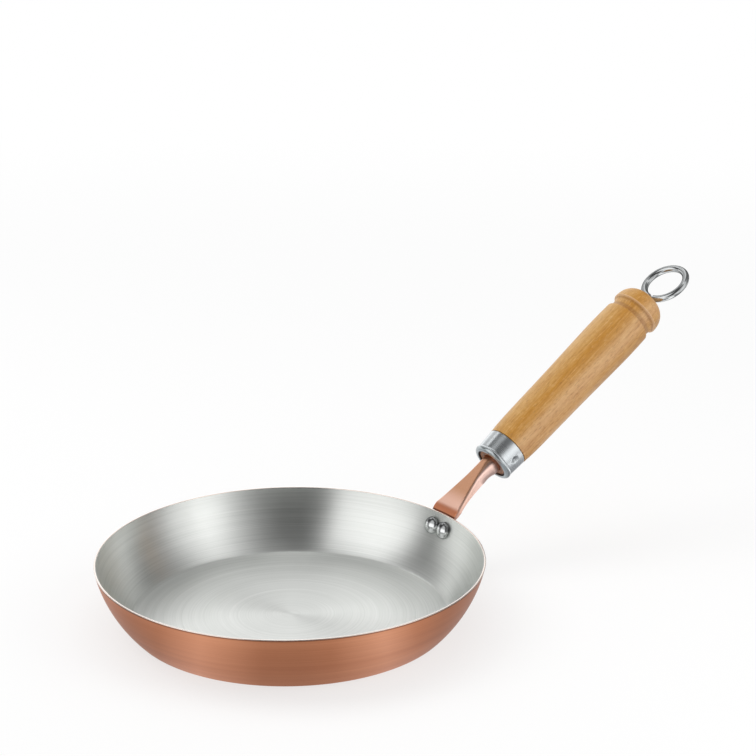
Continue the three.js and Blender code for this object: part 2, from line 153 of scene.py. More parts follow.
def ease(value, low, high):
    """0 below the low value, 1 above the high one, and smooth between them."""
    share = min(max((value - low) / (high - low), 0), 1)
    return share * share * (3 - 2 * share)


print("half way up a step:", ease(0.5, 0, 1))

# %% [markdown]
# ## Pan
#
# The bowl is spun from clad sheet: copper outside, a thin steel skin inside. Its wall is one arc that
# bulges a little between the base and the rim, and all layers of the wall share the centre of that arc.
# At the rim the steel turns over the copper's cut edge and is rounded, which is what shows as a bright
# line in the picture. Both layers are turned from their own outlines, so each keeps its own finish.

# %% Pan wall
RIM, BASE, HEIGHT, BULGE = 101.5, 83.4, 33.2, 2.7
COPPER, STEEL, HEEL_INSIDE = 0.6, 0.4, 1.5
FLOOR_ROWS, HEEL_STEPS, WALL_STEPS = (0, 20, 40, 60, 75), 8, 32
WALL = COPPER + STEEL
HEEL = HEEL_INSIDE + WALL
chord = Vector((RIM - BASE, HEIGHT))
wall_radius = (chord.length_squared / 4 + BULGE ** 2) / (2 * BULGE)
outward = Vector((chord.y, -chord.x)).normalized()
wall_centre = Vector((BASE, 0)) + chord / 2 + outward * (BULGE - wall_radius)
heel_reach = math.sqrt((wall_radius - HEEL) ** 2 - (HEEL - wall_centre.y) ** 2)
heel_centre = (wall_centre.x + heel_reach, HEEL)
heel_angle = math.atan2(HEEL - wall_centre.y, heel_reach)


def pan_layer(depth, top=HEIGHT):
    """The pan's surface at a depth into the sheet, from the axis out and up to a height."""
    radius = wall_radius - depth
    rim_angle = math.asin((top - wall_centre.y) / radius)
    floor = [(row, depth) for row in FLOOR_ROWS]
    heel = arc(heel_centre, HEEL - depth, -QUARTER, heel_angle, HEEL_STEPS)
    return floor + heel + arc(wall_centre, radius, heel_angle, rim_angle, WALL_STEPS)[1:]


print("wall arc", round(wall_radius, 2), "mm")

# %% Pan shell
PAN_PARTS, EDGE_BEVEL = 256, 0.12
edge = HEIGHT - STEEL
outside = pan_layer(0, edge - EDGE_BEVEL) + [(pan_layer(0, edge)[-1][0] - EDGE_BEVEL, edge)]
shell = as_piece("copper_shell", *spun(outside + pan_layer(COPPER, edge)[::-1], PAN_PARTS), sharp=50)
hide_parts("pan_shell")

# %% Pan lining
RIM_ROUND, RIM_INSET, TURNED_IN = 0.3, 0.02, 0.14
inner_rim, outer_rim = pan_layer(WALL)[-1][0], pan_layer(0)[-1][0]
round_height = HEIGHT - RIM_ROUND
turned_edge = [(outer_rim - TURNED_IN, edge)]
turned_edge += arc((outer_rim - RIM_ROUND - RIM_INSET, round_height), RIM_ROUND, 0, QUARTER, 5)
turned_edge += arc((inner_rim + RIM_ROUND, round_height), RIM_ROUND, QUARTER, math.pi, 5)
inside = pan_layer(WALL, round_height - RIM_INSET)
lining_outline = pan_layer(COPPER, edge) + turned_edge + inside[::-1]
lining = as_piece("steel_lining", *spun(lining_outline, PAN_PARTS), sharp=50)
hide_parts("pan_lining")

# %% [markdown]
# ## Rivets
#
# Two round-headed rivets hold the bracket. Their heads lie side by side on the steel, and each stands
# square to the wall where it sits. A turned outline with a domed head, a shank and a smaller domed tail
# is enough; the dome gets many rows because it is polished and shows every facet.

# %% Rivet outline
HEAD, HEAD_TALL, HEAD_EDGE, HEAD_GAP = 4.7, 3.1, 0.5, 0.4
SHANK, TAIL, TAIL_TALL = 2.4, 4.1, 1.9
PLATE_GAP, SEAT_GAP, SHEET = 0.3, 0.35, 1.5
head_seat = -WALL - SEAT_GAP
tail_seat = PLATE_GAP + SHEET + SEAT_GAP
dome_seat, dome_tall = head_seat - HEAD_EDGE, HEAD_TALL - HEAD_EDGE
turns = [QUARTER * i / 16 for i in range(17)]
rivet_outline = [(HEAD * math.sin(a), dome_seat - dome_tall * math.cos(a)) for a in turns]
rivet_outline += [(HEAD, head_seat), (SHANK, head_seat), (SHANK, tail_seat)]
turns = [QUARTER * i / 12 for i in range(12)]
rivet_outline += [(TAIL * math.cos(a), tail_seat + TAIL_TALL * math.sin(a)) for a in turns]
rivet_outline += [(0, tail_seat + TAIL_TALL)]
print("rivet", round(tail_seat + TAIL_TALL - head_seat + HEAD_TALL, 1), "mm long")

# %% Rivets
RIVET_DEPTH = 8.2
rivet_height = HEIGHT - RIVET_DEPTH
rivet_angle = math.asin((rivet_height - wall_centre.y) / wall_radius)
rivet_place = wall_centre + wall_radius * pointing(rivet_angle)
rivet_swing = math.asin((HEAD + HEAD_GAP / 2) / rivet_place.x)
stand = Matrix.Translation(Vector((rivet_place.x, 0, rivet_place.y)) * MM)
tip = Matrix.Rotation(QUARTER - rivet_angle, 4, "Y")
rivets = []
for name, side in (("rivet_left", 1), ("rivet_right", -1)):
    rivet = as_piece(name + "_domed", *spun(rivet_outline, 64), sharp=30)
    rivet.matrix_world = Matrix.Rotation(side * rivet_swing, 4, "Z") @ stand @ tip
    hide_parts(name)
    rivets.append(rivet)

# %% [markdown]
# ## Bracket
#
# The bracket is one strip of sheet. It lies on the wall under the rivets, bends over behind the rim, and
# then its two sides fold down along straight creases until the strip is a tube, the tang that goes into
# the grip. Cloth or a bend modifier can't fold sheet like that. So the strip is a row of sections: each
# half section is walked as a flat, a corner, a side and a curl, and those lengths change along the strip.

# %% Line of the handle
RISE = math.radians(32.9)
FOOT_DROP = 0.7
along = pointing(RISE)
above = Vector((-math.sin(RISE), math.cos(RISE)))
foot = Vector((RIM, HEIGHT - FOOT_DROP))
at_foot = Matrix.Translation(Vector((foot.x, 0, foot.y)) * MM)
in_handle = at_foot @ Matrix.Rotation(QUARTER - RISE, 4, "Y")
print("handle rises", round(math.degrees(RISE), 1), "degrees")

# %% Lengths along the handle
FERRULE_START, FERRULE_LONG, CUP_SHEET, CUP_GAP = 40.2, 13.9, 0.7, 0.3
WIRE, THREAD_GAP, NUT_WALL, NUT_GAP = 1.95, 0.3, 1, 0.3
TANG_LEAD, TANG_DEPTH, TANG_FLAT = 3, 30, 1
TANG = WIRE + THREAD_GAP + NUT_WALL + NUT_GAP + SHEET
TANG_ROUND = TANG - TANG_FLAT
TANG_START = FERRULE_START - TANG_LEAD
GRIP_FRONT = FERRULE_START + CUP_SHEET + CUP_GAP
GRIP_BACK = FERRULE_START + FERRULE_LONG + CUP_GAP
TANG_END = GRIP_FRONT + TANG_DEPTH
print("tang runs from", round(TANG_START, 1), "to", round(TANG_END, 1), "mm along the handle")

# %% Bracket sections
CORNER, SIDE, LIP, CREASE = 1, 0.05, 0.4, 0.15
CORNER_STEPS, FLAT_STEPS = 8, 4


def sheet_section(flat, corner, corner_turn, side, curl, curl_turn):
    """Closed section of the sheet as (across, height) points, along its upper face and back below."""
    walk = [(0, 0, 0)]

    def step(length, turn):
        across, down, heading = walk[-1]
        reach = length if turn == 0 else length * math.sin(turn / 2) / (turn / 2)
        middle = heading + turn / 2
        walk.append((across + reach * math.cos(middle), down + reach * math.sin(middle), heading + turn))

    for length, turn, steps in ((flat, 0, FLAT_STEPS), (corner, corner_turn, CORNER_STEPS), (side, 0, 1),
                                (curl, curl_turn, CORNER_STEPS)):
        for _ in range(steps):
            step(length / steps, turn / steps)
    upper, lower = [], []
    for across, down, turn in walk:
        upper.append((across, -down))
        lower.append((across - SHEET * math.sin(turn), -down - SHEET * math.cos(turn)))
    flipped = [[(-across, height) for across, height in half[:0:-1]] for half in (upper, lower)]
    return flipped[0] + upper + lower[::-1] + flipped[1][::-1]


print("section of", len(sheet_section(8, CORNER, 0, SIDE, LIP, 0)), "points")

# %% Bracket line
BEND_INSIDE = 8
BEND = BEND_INSIDE + SHEET
STRAP_TILT = math.radians(5.7)
plate_radius = wall_radius + PLATE_GAP
strap_rise = RISE + STRAP_TILT
strap_along = pointing(strap_rise)
strap_above = Vector((-math.sin(strap_rise), math.cos(strap_rise)))
tang_top = foot + along * TANG_START + above * TANG
bend_line = tang_top - strap_above * BEND - wall_centre
bend_across = bend_line.dot(strap_along)
bend_gap = plate_radius + BEND
strap_length = bend_across - math.sqrt(bend_across ** 2 - bend_line.length_squared + bend_gap ** 2)
bend_from_wall = bend_line - strap_along * strap_length
bend_centre = bend_from_wall + wall_centre
plate_top = math.atan2(bend_from_wall.y, bend_from_wall.x)
bend_from, bend_to = plate_top + math.pi, QUARTER + strap_rise
bend_share = BEND * (bend_from - bend_to) / strap_length
print("strap", round(strap_length, 1), "mm from the bend to the tang")

# %% Bracket folds
FOLD_START, FOLD_END, CURL_START, SEAM = -0.28, -0.08, 0.6, math.radians(16)


def folded_section(share, half):
    """Section of the sheet as it changes from the end of the bend, at 0, to the tang, at 1."""
    grown = max(share, 0)
    curl_full = QUARTER - SEAM / 2
    corner_turn = QUARTER * ease(share, FOLD_START, FOLD_END)
    corner = max(between(CORNER, TANG_ROUND * QUARTER, grown ** 3), (SHEET + CREASE) * corner_turn)
    flat = between(half - CORNER - SIDE - LIP, TANG_FLAT, grown ** 0.85)
    side = between(SIDE, 2 * TANG_FLAT, grown ** 2)
    curl = between(LIP, TANG_ROUND * curl_full, grown ** 1.5)
    return sheet_section(flat, corner, corner_turn, side, curl, curl_full * ease(share, CURL_START, 1))


def set_ring(section, place, facing, wrap):
    """A section at a place, with its upper face towards a direction. A wrap of 1 follows the pan."""
    ring = []
    for across, height in section:
        lift = height + wrap * across ** 2 * abs(facing.x) / (2 * place.x)
        ring.append((place.x + lift * facing.x, across, place.y + lift * facing.y))
    return ring


print("sides fold down over", round((FOLD_END - FOLD_START) * strap_length, 1), "mm")

# %% Bracket
PLATE_TAIL, PLATE_CORNER, PLATE_MARGIN, STRAP_HALF = 8, 5, 1.9, 10
CORNER_ROWS, PLATE_ROWS, BEND_ROWS, FOLD_ROWS = 10, 10, 14, 56
PLATE_HALF = 2 * HEAD + HEAD_GAP / 2 + PLATE_MARGIN
plate_low = rivet_angle - PLATE_TAIL / plate_radius
plate_length = (plate_top - plate_low) * plate_radius
rows = [PLATE_CORNER * (1 - math.cos(QUARTER * i / CORNER_ROWS)) for i in range(CORNER_ROWS + 1)]
rows += [between(PLATE_CORNER, plate_length, i / PLATE_ROWS) for i in range(1, PLATE_ROWS + 1)]
rings = []
for distance in rows:
    facing = -pointing(plate_low + distance / plate_radius)
    drawn = max(0, PLATE_CORNER - distance)
    half = between(PLATE_HALF, STRAP_HALF, ease(distance, PLATE_TAIL, plate_length))
    half -= PLATE_CORNER - math.sqrt(PLATE_CORNER ** 2 - drawn ** 2)
    section = folded_section((distance - plate_length) / strap_length - bend_share, half)
    rings.append(set_ring(section, wall_centre - facing * plate_radius, facing, 1))
for i in range(1, BEND_ROWS + 1):
    left = 1 - i / BEND_ROWS
    facing = pointing(between(bend_to, bend_from, left))
    section = folded_section(-bend_share * left, STRAP_HALF)
    rings.append(set_ring(section, bend_centre + facing * BEND, facing, left))
for i in range(1, FOLD_ROWS + 1):
    share = i / FOLD_ROWS
    place = tang_top + strap_along * strap_length * (share - 1)
    facing = pointing(between(bend_to, QUARTER + RISE, share))
    rings.append(set_ring(folded_section(share, STRAP_HALF), place, facing, 0))
tang_tip = tang_top + along * (TANG_END - TANG_START)
rings.append(set_ring(folded_section(1, STRAP_HALF), tang_tip, above, 0))
bracket = as_piece("folded_bracket", *skinned(rings), sharp=42)
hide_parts("handle_bracket")

# %% [markdown]
# ## Ferrule
#
# The ferrule is a pressed steel cup, slightly conical, with a rolled lip round its mouth. A punch has
# dented it on either side, which holds it on the wood. The cup is turned like the pan. Then every point
# near the middle of a dent is pushed in by an amount that fades to nothing at the dent's edge. Both skins
# move alike, so the sheet keeps its thickness, and no boolean is needed.

# %% Ferrule outline
CONE_FRONT, CONE_BACK, CUP_LIP, LIP_PROUD = 11.65, 12.35, 1.8, 0.4
MOUTH, CUP_EDGE, CUP_ROWS = 9.5, 0.15, 48


def cone(height):
    return between(CONE_FRONT, CONE_BACK, (height - FERRULE_START) / FERRULE_LONG)


lip_height = FERRULE_START + CUP_LIP
lip_inside, lip_outside = [(cone(lip_height) - CUP_LIP + proud, lip_height) for proud in (0, LIP_PROUD)]
lip_turn = math.acos((CUP_LIP - LIP_PROUD) / CUP_LIP)
cup_start = lip_height + CUP_LIP * math.sin(lip_turn)
cup_end = FERRULE_START + FERRULE_LONG
cup_rows = [between(cup_start, cup_end - CUP_EDGE, i / CUP_ROWS) for i in range(1, CUP_ROWS + 1)]
cup_outline = [(MOUTH, FERRULE_START + CUP_EDGE), (MOUTH + CUP_EDGE, FERRULE_START)]
cup_outline += arc(lip_outside, CUP_LIP, -QUARTER, lip_turn, 18)
cup_outline += [(cone(row), row) for row in cup_rows]
cup_outline += [(CONE_BACK - CUP_EDGE, cup_end), (CONE_BACK - CUP_SHEET, cup_end)]
cup_outline += [(cone(row) - CUP_SHEET, row) for row in cup_rows[::-1]]
cup_outline += arc(lip_inside, CUP_LIP - CUP_SHEET, 0, -QUARTER, 8)
cup_outline += [(MOUTH, FERRULE_START + CUP_SHEET)]
print("ferrule outline has", len(cup_outline), "points")

# %% Ferrule
DENT_PLACE, DENT_WIDE, DENT_LONG, DENT_DEEP = 8.3, 4.6, 5.8, 1.05
dent_height = FERRULE_START + DENT_PLACE


def dented(point):
    x, y, z = point
    away = 2 * math.hypot(x / DENT_WIDE, (z - dent_height) / DENT_LONG)
    return (x, y - math.copysign(DENT_DEEP * (1 - ease(away, 0, 1)), y), z)


cup_points, cup_faces = spun(cup_outline, 280)
ferrule = as_piece("steel_ferrule", [dented(point) for point in cup_points], cup_faces, sharp=32)
ferrule.matrix_world = in_handle
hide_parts("ferrule")

# %% [markdown]
# ## Grip
#
# The grip is turned from one piece of beech. From the ferrule it swells slowly towards the heel of the
# hand, then come a groove and a domed knob with a sharp edge. A lathe works from a drawn line, so the
# outline here is a smooth curve through the measured diameters. The mesh stands along its own Z, because
# the grain runs that way.

# %% Grip lengths
SHOULDER, SHOULDER_ROUND, NECK, NECK_PLACE = 12.45, 0.3, 13.1, 12
MIDDLE, MIDDLE_PLACE, SWELL, SWELL_PLACE = 13.65, 48, 14.5, 86
BODY_TAIL, TAIL_ROUND, BODY_LONG = 14.3, 0.8, 104.5
GROOVE, GROOVE_REACH, KNOB, KNOB_REACH = 12.9, 2, 14.7, 4.8
CAP_LONG, CAP_FULL, CAP_RING = 11.4, 2.3, 0.3
BOLT_GAP, BORE_BEVEL = 0.6, 1
BOLT_BORE = WIRE + BOLT_GAP
body_end = GRIP_BACK + BODY_LONG
groove_height = body_end + GROOVE_REACH
knob_height = groove_height + KNOB_REACH
grip_end = knob_height + CAP_LONG
print("visible wood", round(grip_end - GRIP_BACK, 1), "mm long")

# %% Grip outline
def smooth_line(knots, steps):
    """Points on a Catmull-Rom curve through the knots."""
    points = []
    spans = len(knots) - 1
    for i in range(steps + 1):
        place = min(i / steps * spans, spans - 1e-9)
        span = int(place)
        t = place - span
        a, b = knots[max(span - 1, 0)], knots[span]
        c, d = knots[span + 1], knots[min(span + 2, spans)]
        point = []
        for p0, p1, p2, p3 in zip(a, b, c, d):
            slope0, slope1 = (p2 - p0) / 2, (p3 - p1) / 2
            point.append((2 * p1 - 2 * p2 + slope0 + slope1) * t ** 3
                         + (-3 * p1 + 3 * p2 - 2 * slope0 - slope1) * t ** 2 + slope0 * t + p1)
        points.append(tuple(point))
    return points


body = smooth_line([(SHOULDER, GRIP_BACK + SHOULDER_ROUND), (NECK, GRIP_BACK + NECK_PLACE),
                    (MIDDLE, GRIP_BACK + MIDDLE_PLACE), (SWELL, GRIP_BACK + SWELL_PLACE),
                    (BODY_TAIL, body_end - TAIL_ROUND)], 60)
shoulder_centre = (SHOULDER - SHOULDER_ROUND, GRIP_BACK + SHOULDER_ROUND)
shoulder = arc(shoulder_centre, SHOULDER_ROUND, -QUARTER, 0, 5)[:-1]
tail = arc((BODY_TAIL - TAIL_ROUND, body_end - TAIL_ROUND), TAIL_ROUND, 0, QUARTER, 6)[1:]
turns = [QUARTER * i / 14 for i in range(15)]
hollow = [(between(GROOVE, KNOB, 1 - math.cos(a)), between(groove_height, knob_height, math.sin(a)))
          for a in turns]
cap_flat = BOLT_BORE + BORE_BEVEL + CAP_RING
fullness = 2 / CAP_FULL
turns = [QUARTER * i / 28 for i in range(1, 28)]
cap = [(between(cap_flat, KNOB, math.cos(a) ** fullness), knob_height + CAP_LONG * math.sin(a) ** fullness)
       for a in turns]
print("body has", len(body), "rows, cap has", len(cap))

# %% Grip
TENON_BEVEL, TENON_GAP, WAIST_DEEP, WAIST_INNER, WAIST_OUTER = 1.1, 1, 1, 3, 4
TANG_ROOM = 0.5
tenon = cone(GRIP_FRONT + TENON_BEVEL) - TENON_GAP
waist = tenon - WAIST_DEEP
tang_bore = TANG_FLAT * math.sqrt(2) + TANG_ROUND + TANG_ROOM
grip_outline = [(tang_bore, GRIP_FRONT), (tenon - TENON_BEVEL, GRIP_FRONT)]
grip_outline += [(tenon, GRIP_FRONT + TENON_BEVEL), (tenon, dent_height - WAIST_OUTER)]
grip_outline += [(waist, dent_height - WAIST_INNER), (waist, dent_height + WAIST_INNER)]
grip_outline += [(tenon, dent_height + WAIST_OUTER), (cone(GRIP_BACK) - TENON_GAP, GRIP_BACK)]
grip_outline += shoulder + body + tail + hollow + cap + [(cap_flat, grip_end)]
grip_outline += [(BOLT_BORE + BORE_BEVEL, grip_end), (BOLT_BORE, grip_end - BORE_BEVEL)]
grip_outline += [(BOLT_BORE, TANG_END + TANG_ROOM), (tang_bore, TANG_END + TANG_ROOM)]
grip = as_piece("beech_grip", *spun(grip_outline, 160), sharp=35)
grip.matrix_world = in_handle
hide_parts("wooden_grip")

# %% [markdown]
# ## Hanging eye
#
# One wire makes the long bolt, its neck and the eye. The straight part is hidden in the grip. Then the
# wire leans aside in a small bend and goes round until its end closes on the neck. The path is drawn from
# two arcs in one plane, and a circle is carried along it. The end of the wire is bevelled, as a cropped
# wire is after tumbling.

# %% Path of the wire
EYE, EYE_ASIDE, NECK_BEND, STAND_OFF, END_GAP = 14.5, 1.4, 3, 0.3, 0.6
NUT_LONG, BOLT_PAST, BEVEL = 10, 2, 0.3
LOOP = EYE - WIRE
loop_height = grip_end + STAND_OFF + WIRE + LOOP
neck_across = EYE_ASIDE + NECK_BEND
neck_below = math.sqrt((LOOP + NECK_BEND) ** 2 - neck_across ** 2)
neck_angle = math.atan2(neck_across, neck_below)
neck_start = loop_height - neck_below
bolt_end = TANG_END - NUT_LONG - BOLT_PAST
loop_stop = -QUARTER - math.asin((WIRE + END_GAP - EYE_ASIDE) / LOOP) + 2 * math.pi
path = [(0, between(bolt_end, neck_start, i / 24)) for i in range(24)]
path += arc((NECK_BEND, neck_start), NECK_BEND, math.pi, QUARTER + neck_angle, 14)
path += arc((-EYE_ASIDE, loop_height), LOOP, neck_angle - QUARTER, loop_stop, 140)[1:]
radii = [WIRE] * len(path)
for end, near in ((0, 1), (-1, -2)):
    tip, back = Vector(path[end]), Vector(path[near])
    step_in = tip + (back - tip).normalized() * BEVEL
    path.insert(1 if end == 0 else len(path) - 1, tuple(step_in))
    radii.insert(1, WIRE)
radii[0] = radii[-1] = WIRE - BEVEL
print("path of the wire has", len(path), "points")

# %% Hanging eye
WIRE_PARTS = 36


def from_handle(x, y, z):
    """A place in the handle's own axes, in the frame's axes."""
    spot = foot - above * x + along * z
    return (spot.x, y, spot.y)


wire_rings = []
for i, (across, height) in enumerate(path):
    ahead = Vector(path[min(i + 1, len(path) - 1)]) - Vector(path[max(i - 1, 0)])
    ahead.normalize()
    ring = []
    for k in range(WIRE_PARTS):
        angle = 2 * math.pi * k / WIRE_PARTS
        lean, lift = radii[i] * math.sin(angle), radii[i] * math.cos(angle)
        ring.append(from_handle(lift, across + lean * ahead.y, height - lean * ahead.x))
    wire_rings.append(ring)
eye = as_piece("hanging_eye_wire", *skinned(wire_rings), sharp=35)
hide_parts("eye_bolt")
print("eye", 2 * EYE, "mm across")

# %% [markdown]
# ## Sums that build nodes
#
# A finish is a sum: lines of brushing, plus a cloud of tarnish, times a colour. Written as nodes such a
# sum is long, so one small class wraps a socket and adds a Math node for each operator. Colours are mixed
# with Mix nodes, since a Math node would turn them grey. Masks are soft steps and windows. Those with mm
# in their names take millimetres, as the meshes do.

# %% Sockets in sums
class Flow:
    """A node's output, used in sums as a number is."""

    def __init__(self, tree, socket=None):
        self.tree = tree
        self.socket = socket

    def node(self, kind, settings=None, inputs=None, output=0):
        """A new node, from its type, its settings, and the values or links of its sockets."""
        made = self.tree.nodes.new("ShaderNode" + kind)
        for name, value in (settings or {}).items():
            if name == "stops":
                while len(made.color_ramp.elements) < len(value):
                    made.color_ramp.elements.new(1)
                for stop, (place, colour) in zip(made.color_ramp.elements, value):
                    stop.position, stop.color = place, colour
            else:
                setattr(made, name, value)
        for name, value in (inputs or {}).items():
            if isinstance(value, Flow):
                self.tree.links.new(value.socket, made.inputs[name])
            else:
                made.inputs[name].default_value = value
        return Flow(self.tree, made.outputs[output] if len(made.outputs) else None)

    def math(self, operation, *terms):
        return self.node("Math", {"operation": operation}, dict(enumerate(terms)))

    def __add__(self, other):
        return self.math("ADD", self, other)

    def __sub__(self, other):
        return self.math("SUBTRACT", self, other)

    def __rsub__(self, other):
        return self.math("SUBTRACT", other, self)

    def __mul__(self, other):
        return self.math("MULTIPLY", self, other)

    def __truediv__(self, other):
        return self.math("DIVIDE", self, other)

    def __pow__(self, other):
        return self.math("POWER", self, other)

    __radd__ = __add__
    __rmul__ = __mul__

    def step(self, low, high):
        """0 below the low value, 1 above the high one, and smooth between them."""
        limits = {"Value": self, "From Min": low, "From Max": high}
        return self.node("MapRange", {"interpolation_type": "SMOOTHSTEP"}, limits)

    def step_mm(self, low, high):
        return self.step(low * MM, high * MM)

    def window(self, rise, full, fade, end):
        """1 between two values, with a soft step before and after."""
        return self.step(rise, full) * (1 - self.step(fade, end))

    def window_mm(self, *limits):
        return self.window(*[limit * MM for limit in limits])

    def parts(self):
        return [self.node("SeparateXYZ", None, {0: self}, axis) for axis in range(3)]

    def noise(self, detail=2, roughness=0.5):
        inputs = {"Vector": self, "Scale": 1, "Detail": detail, "Roughness": roughness}
        return self.node("TexNoise", None, inputs)

    def ramp(self, stops):
        """A colour that changes from stop to stop with this value."""
        return self.node("ValToRGB", {"stops": stops}, {0: self})

    def tint(self, low, high):
        """A colour between two, by this value."""
        return self.node("Mix", {"data_type": "RGBA"}, {0: self, 6: low, 7: high}, 2)

    def bump(self, strength, depth_mm):
        return self.node("Bump", None, {"Height": self, "Strength": strength, "Distance": depth_mm * MM})

    def ends_in(self, kind):
        self.node("Output" + kind, None, {"Surface": self})


def vector(x, y, z):
    return next(v for v in (x, y, z) if isinstance(v, Flow)).node("CombineXYZ", None, {0: x, 1: y, 2: z})


print("sums are ready")

# %% [markdown]
# ## Colours and finishes
#
# Colours are written as they look on a screen, from 0 to 255, and turned into linear light once. A finish
# is a Principled shader. What is the same all over the surface is set on its sockets; what changes over
# the surface is linked.

# %% Finish helpers
def paint(*levels):
    """Red, green and blue as a screen shows them, as linear light."""
    linear = [c / 255 / 12.92 if c < 11 else ((c / 255 + 0.055) / 1.055) ** 2.4 for c in levels]
    return (*linear, 1)


def new_finish(name, **fixed):
    """A material, its shader, and the place on the piece in metres."""
    finish = bpy.data.materials.new(name)
    finish.use_nodes = True
    shader = finish.node_tree.nodes["Principled BSDF"]
    for socket, value in fixed.items():
        shader.inputs[socket.replace("_", " ")].default_value = value
    return finish, shader, Flow(finish.node_tree).node("TexCoord", output="Object")


def lead(shader, **flows):
    """Links what changes over the surface to the shader's sockets."""
    for socket, flow in flows.items():
        flow.tree.links.new(flow.socket, shader.inputs[socket.replace("_", " ")])


def wear(piece, finish, body="pan"):
    """Puts a finish on a piece, and the piece on its body."""
    piece.data.materials.clear()
    piece.data.materials.append(finish)
    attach(piece, body)
    print(piece.name, "wears", finish.name, "and rides on", body)


print("a mid tan is", [round(c, 3) for c in paint(205, 155, 95)[:3]])

# %% [markdown]
# ## Brushed metal
#
# The pan spins while an abrasive pad is held to it, so every scratch runs round the axis. A scratch is
# long one way and hair-thin the other. Noise gives that if the place is squeezed along the scratch and
# stretched across it. The distance along the outline, radius plus height, is the direction across: it
# makes rings on the floor and level lines on the wall with one formula. The shader's own anisotropy then
# smears reflections across the scratches, as the real brushing does. The turned edge of the rim is
# smoother, and a warm tint on it is a painted reflection of the copper. A dark line under it is a painted
# dark reflection.

# %% Brushed copper
def brush_lines(place, fine, drift=14):
    """Noise that runs round the axis: hair lines across the outline and slow changes along them."""
    x, y, z = place.parts()
    across = (x * x + y * y) ** 0.5 + z
    hair = vector(x * drift, y * drift, across * fine).noise(3, 0.65)
    cloud = vector(x * drift * 0.4, y * drift * 0.4, across * fine * 0.08).noise(2, 0.5)
    return across, hair, cloud


copper, shader, place = new_finish("brushed_copper", Metallic=1, Anisotropic=0.85, Anisotropic_Rotation=0.25)
_, hair, cloud = brush_lines(place, 1500)
shade = hair * 0.55 + cloud * 0.6 - 0.08
colour = shade.tint(paint(182, 110, 78), paint(226, 154, 114))
height = place.parts()[2]
# A dark line painted just under the rim is a painted dark reflection.
painted_dark_reflection = height.step_mm(edge - 1, edge - 0.4)
colour = (painted_dark_reflection * 0.6).tint(colour, paint(96, 56, 40))
lead(shader, Base_Color=colour, Roughness=0.32 + hair * 0.14, Normal=hair.bump(0.12, 0.2))
wear(shell, copper)

# %% Spun steel
steel, shader, place = new_finish("spun_steel", Metallic=1, Anisotropic=0.8, Anisotropic_Rotation=0.25)
across, hair, cloud = brush_lines(place, 1300, 10)
x, y, z = place.parts()
ring = vector(x * 2, y * 2, across * 260).noise(3, 0.6)
shade = hair * 0.9 + cloud * 0.3 + ring * 0.4 - 0.3
colour = shade.tint(paint(206, 209, 205), paint(250, 251, 249))
# The warm tint on the rim's edge is a painted reflection of the copper; the same mask makes that edge
# smoother.
smooth_rim_and_painted_reflection = z.step_mm(HEIGHT - 0.5, HEIGHT - 0.2)
colour = (smooth_rim_and_painted_reflection * 0.4).tint(colour, paint(248, 222, 208))
flat = 1 - z.step_mm(WALL + 0.2, WALL + 2)
heel = z.window_mm(WALL + 0.02, WALL + 0.2, WALL + 0.6, WALL + 1.6)
rough = 0.24 + hair * 0.12 + ring * 0.08 + flat * 0.06 + heel * 0.04 - smooth_rim_and_painted_reflection * 0.12
lead(shader, Base_Color=colour, Roughness=rough, Normal=(hair + ring).bump(0.14, 0.2))
wear(lining, steel)

# %% [markdown]
# ## Plated bracket
#
# The bracket is steel sheet with a copper plating, rubbed to a satin by tumbling, so its fine marks run
# every way. Light is painted on the plating: a painted highlight makes it pale just behind the rim, a
# painted reflection of darker surroundings makes the bend redder, and a painted shadow makes it dark in the
# corner where the strip goes down behind the rim. The folded sides get a painted highlight too, most of
# all beside the ferrule. Painting those by hand would need an unwrapped picture. Here each is a mask from
# the place on the strip, or from the direction that a face looks in.

# %% Copper plating
plating, shader, place = new_finish("copper_plating", Metallic=1)
x, y, z = place.parts()
cloud = vector(x * 120, y * 120, z * 120).noise(3, 0.6)
rub = vector(x * 900, y * 2600, z * 900).noise(2, 0.6)
shade = cloud * 0.5 + rub * 0.7 - 0.1
colour = shade.tint(paint(198, 144, 110), paint(230, 176, 143))
up_strap = x * 0.77 + z * 0.63
# A painted highlight makes the plating pale just behind the rim.
painted_highlight_behind_rim = (1 - up_strap.step_mm(RIM + 5, RIM + 15)) * z.step_mm(HEIGHT - 4.2, HEIGHT - 1.2)
colour = (painted_highlight_behind_rim * 0.85).tint(colour, paint(252, 206, 186))
# The redder band on the bend is a painted reflection of darker surroundings; the same mask makes the bend
# rougher.
rough_bend_and_painted_reflection = (1 - up_strap.step_mm(RIM + 0.5, RIM + 3.5)) * z.step_mm(HEIGHT - 1, HEIGHT - 0.4)
colour = (rough_bend_and_painted_reflection * 0.85).tint(colour, paint(216, 132, 88))
# A painted shadow darkens the corner where the strip goes down behind the rim.
painted_shadow_behind_rim = rough_bend_and_painted_reflection * (1 - z.step_mm(HEIGHT + 0.1, HEIGHT + 0.7))
colour = (painted_shadow_behind_rim * 0.85).tint(colour, paint(84, 44, 30))
facing_side = place.node("TexCoord", output="Normal").parts()[1]
# The pale folded sides are a painted highlight, chosen by the way each face looks.
side = facing_side.math("ABSOLUTE", facing_side).step(0.35, 0.75)
colour = (side * 0.8).tint(colour, paint(240, 200, 184))
# A stronger painted highlight on the folded sides beside the ferrule.
painted_highlight_by_ferrule = side * up_strap.step_mm(RIM + 6.5, RIM + 24.5)
colour = (painted_highlight_by_ferrule * 0.6).tint(colour, paint(255, 222, 212))
rough = 0.24 + cloud * 0.1 + rub * 0.08 + rough_bend_and_painted_reflection * 0.2
lead(shader, Base_Color=colour, Roughness=rough, Normal=rub.bump(0.08, 0.1))
wear(bracket, plating)
